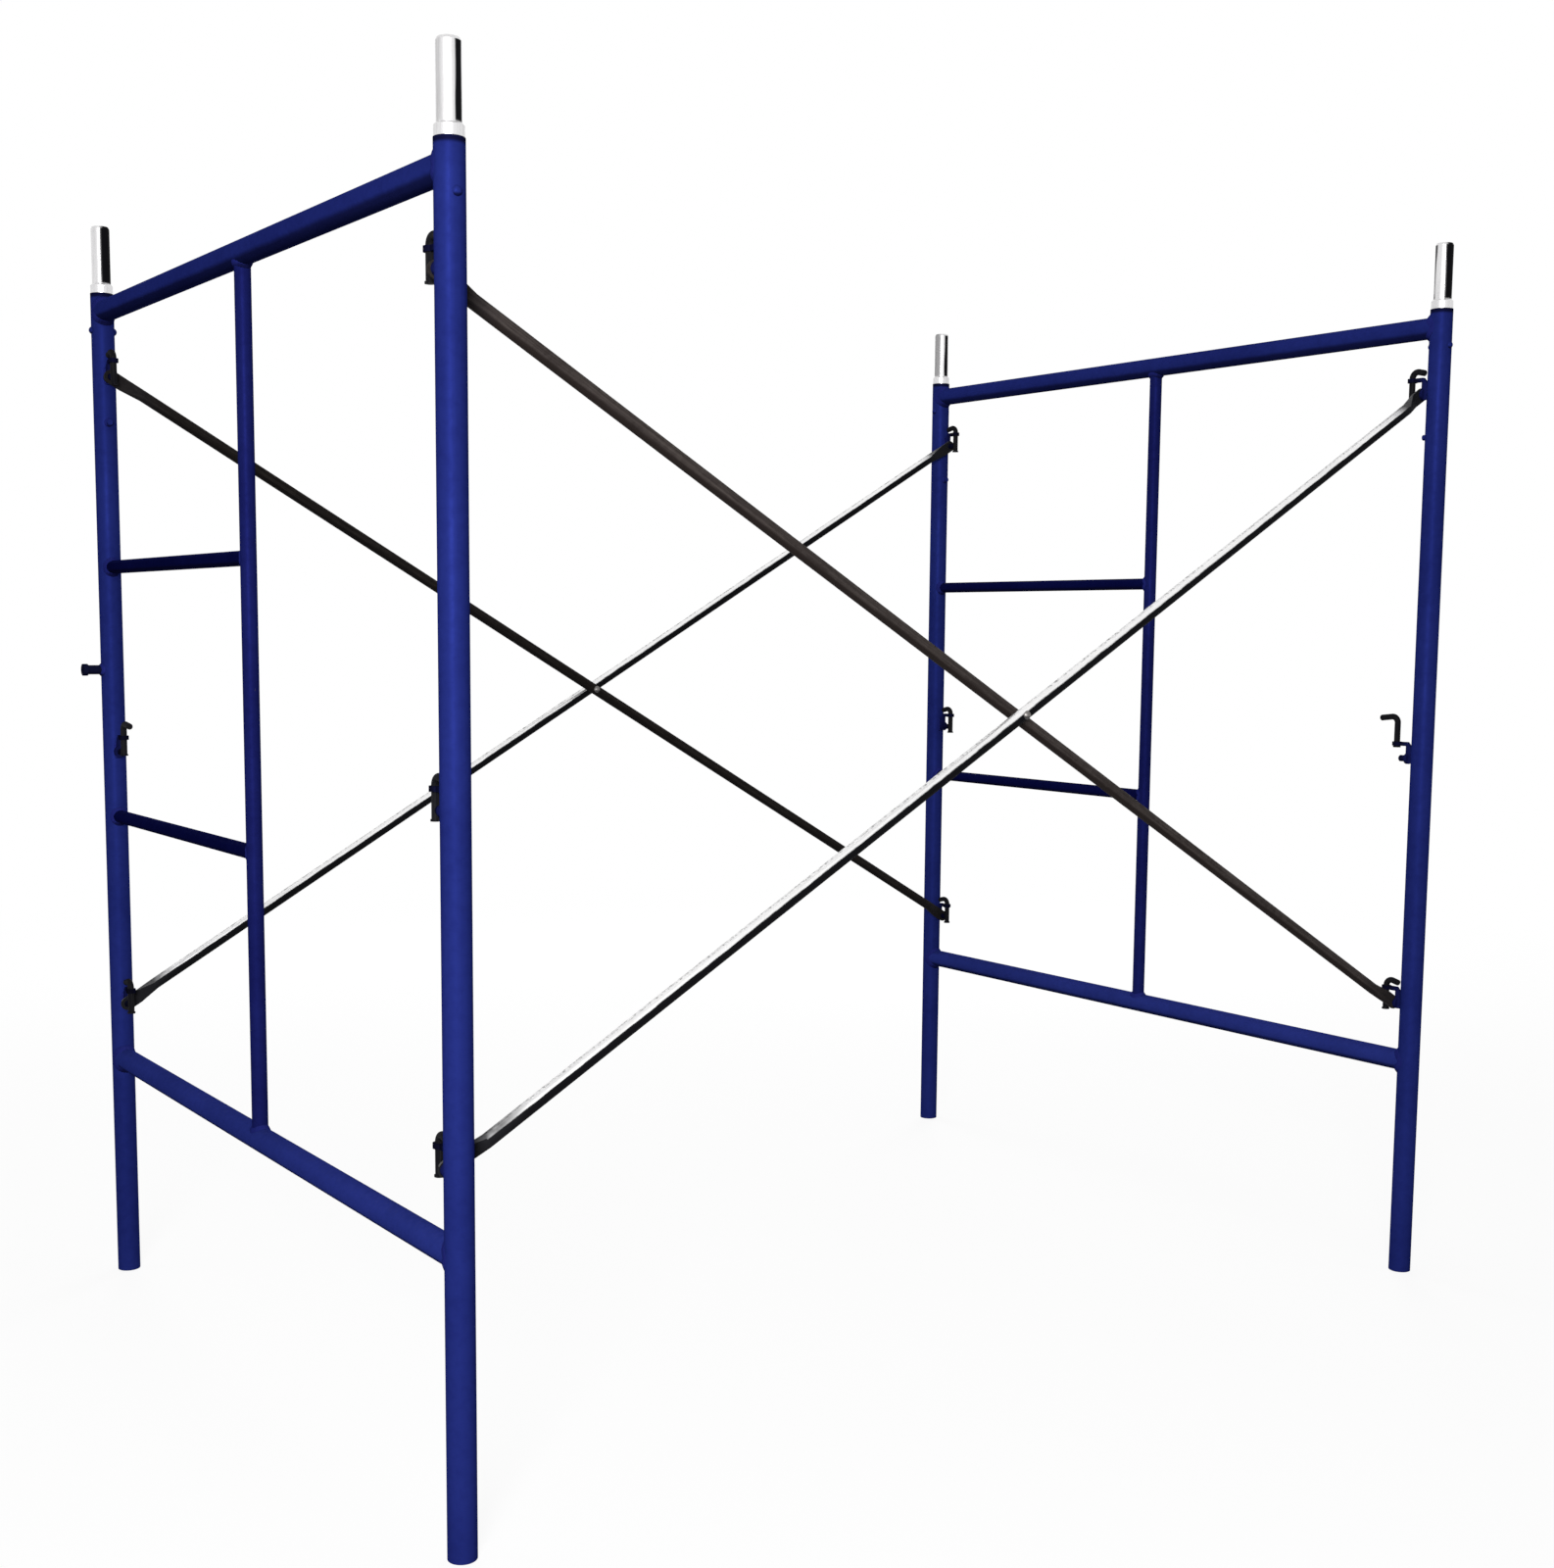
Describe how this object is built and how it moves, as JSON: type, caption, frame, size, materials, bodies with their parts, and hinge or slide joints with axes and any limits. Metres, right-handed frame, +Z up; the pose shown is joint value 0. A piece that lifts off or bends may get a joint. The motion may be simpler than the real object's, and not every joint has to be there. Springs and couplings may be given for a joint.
{
  "type": "frame scaffold section",
  "caption": "Frame scaffold section: two ladder frames with coupling pins, joined by crossed braces held on studs by drop bars.",
  "frame": {"origin": "on the ground at the centre of the four feet", "axes": "+X along the bay from the left frame to the right frame, +Y from the near legs to the far legs (the ladder side), +Z up"},
  "size_m": [2.2177, 1.5289, 2.055],
  "materials": {
    "blue_paint": "powder-coated ultramarine blue, semi-gloss, slight orange peel",
    "galvanised_tube": "galvanised tube, mottled grey, dull to satin",
    "galvanised_pin": "bright zinc, satin, drawn lengthwise",
    "dark_steel": "blackened round bar, dull"
  },
  "bodies": {
    "scaffold": {"left_near_leg": "blue_paint", "left_near_coupling_pin": "galvanised_pin", "left_near_pin_rivet": "blue_paint", "left_near_lower_lock": "blue_paint", "left_near_mid_lock": "blue_paint", "left_near_upper_lock": "blue_paint", "left_far_leg": "blue_paint", "left_far_coupling_pin": "galvanised_pin", "left_far_pin_rivet": "blue_paint", "left_far_lower_lock": "blue_paint", "left_far_mid_lock": "blue_paint", "left_far_upper_lock": "blue_paint", "left_top_bar": "blue_paint", "left_bottom_bar": "blue_paint", "left_upper_rung": "blue_paint", "left_lower_rung": "blue_paint", "left_ladder_post": "blue_paint", "right_near_leg": "blue_paint", "right_near_coupling_pin": "galvanised_pin", "right_near_pin_rivet": "blue_paint", "right_near_lower_lock": "blue_paint", "right_near_mid_lock": "blue_paint", "right_near_upper_lock": "blue_paint", "right_far_leg": "blue_paint", "right_far_coupling_pin": "galvanised_pin", "right_far_pin_rivet": "blue_paint", "right_far_lower_lock": "blue_paint", "right_far_mid_lock": "blue_paint", "right_far_upper_lock": "blue_paint", "right_top_bar": "blue_paint", "right_bottom_bar": "blue_paint", "right_upper_rung": "blue_paint", "right_lower_rung": "blue_paint", "right_ladder_post": "blue_paint", "near_rising_brace": "galvanised_tube", "near_falling_brace": "galvanised_tube", "near_brace_rivet": "galvanised_pin", "far_rising_brace": "galvanised_tube", "far_falling_brace": "galvanised_tube", "far_brace_rivet": "galvanised_pin", "leg_pegs": "blue_paint", "left_far_stub": "blue_paint"},
    "left_near_lower_drop_bar": {"left_near_lower_drop_bar": "dark_steel"},
    "left_near_mid_drop_bar": {"left_near_mid_drop_bar": "dark_steel"},
    "left_near_upper_drop_bar": {"left_near_upper_drop_bar": "dark_steel"},
    "left_far_lower_drop_bar": {"left_far_lower_drop_bar": "dark_steel"},
    "left_far_mid_drop_bar": {"left_far_mid_drop_bar": "dark_steel"},
    "left_far_upper_drop_bar": {"left_far_upper_drop_bar": "dark_steel"},
    "right_near_lower_drop_bar": {"right_near_lower_drop_bar": "dark_steel"},
    "right_near_mid_drop_bar": {"right_near_mid_drop_bar": "dark_steel"},
    "right_near_upper_drop_bar": {"right_near_upper_drop_bar": "dark_steel"},
    "right_far_lower_drop_bar": {"right_far_lower_drop_bar": "dark_steel"},
    "right_far_mid_drop_bar": {"right_far_mid_drop_bar": "dark_steel"},
    "right_far_upper_drop_bar": {"right_far_upper_drop_bar": "dark_steel"}
  },
  "joints": [
    {"name": "left_near_lower_lift", "type": "slide", "parent": "scaffold", "child": "left_near_lower_drop_bar", "axis": [0, 0, 1], "range_m": [0, 0.0375]},
    {"name": "left_near_mid_lift", "type": "slide", "parent": "scaffold", "child": "left_near_mid_drop_bar", "axis": [0, 0, 1], "range_m": [0, 0.0375]},
    {"name": "left_near_upper_lift", "type": "slide", "parent": "scaffold", "child": "left_near_upper_drop_bar", "axis": [0, 0, 1], "range_m": [0, 0.0375]},
    {"name": "left_far_lower_lift", "type": "slide", "parent": "scaffold", "child": "left_far_lower_drop_bar", "axis": [0, 0, 1], "range_m": [0, 0.0375]},
    {"name": "left_far_mid_lift", "type": "slide", "parent": "scaffold", "child": "left_far_mid_drop_bar", "axis": [0, 0, 1], "range_m": [-0.01, 0.0275]},
    {"name": "left_far_upper_lift", "type": "slide", "parent": "scaffold", "child": "left_far_upper_drop_bar", "axis": [0, 0, 1], "range_m": [0, 0.0375]},
    {"name": "right_near_lower_lift", "type": "slide", "parent": "scaffold", "child": "right_near_lower_drop_bar", "axis": [0, 0, 1], "range_m": [0, 0.0375]},
    {"name": "right_near_mid_lift", "type": "slide", "parent": "scaffold", "child": "right_near_mid_drop_bar", "axis": [0, 0, 1], "range_m": [-0.0375, 0]},
    {"name": "right_near_upper_lift", "type": "slide", "parent": "scaffold", "child": "right_near_upper_drop_bar", "axis": [0, 0, 1], "range_m": [0, 0.0375]},
    {"name": "right_far_lower_lift", "type": "slide", "parent": "scaffold", "child": "right_far_lower_drop_bar", "axis": [0, 0, 1], "range_m": [0, 0.0375]},
    {"name": "right_far_mid_lift", "type": "slide", "parent": "scaffold", "child": "right_far_mid_drop_bar", "axis": [0, 0, 1], "range_m": [0, 0.0375]},
    {"name": "right_far_upper_lift", "type": "slide", "parent": "scaffold", "child": "right_far_upper_drop_bar", "axis": [0, 0, 1], "range_m": [0, 0.0375]}
  ]
}
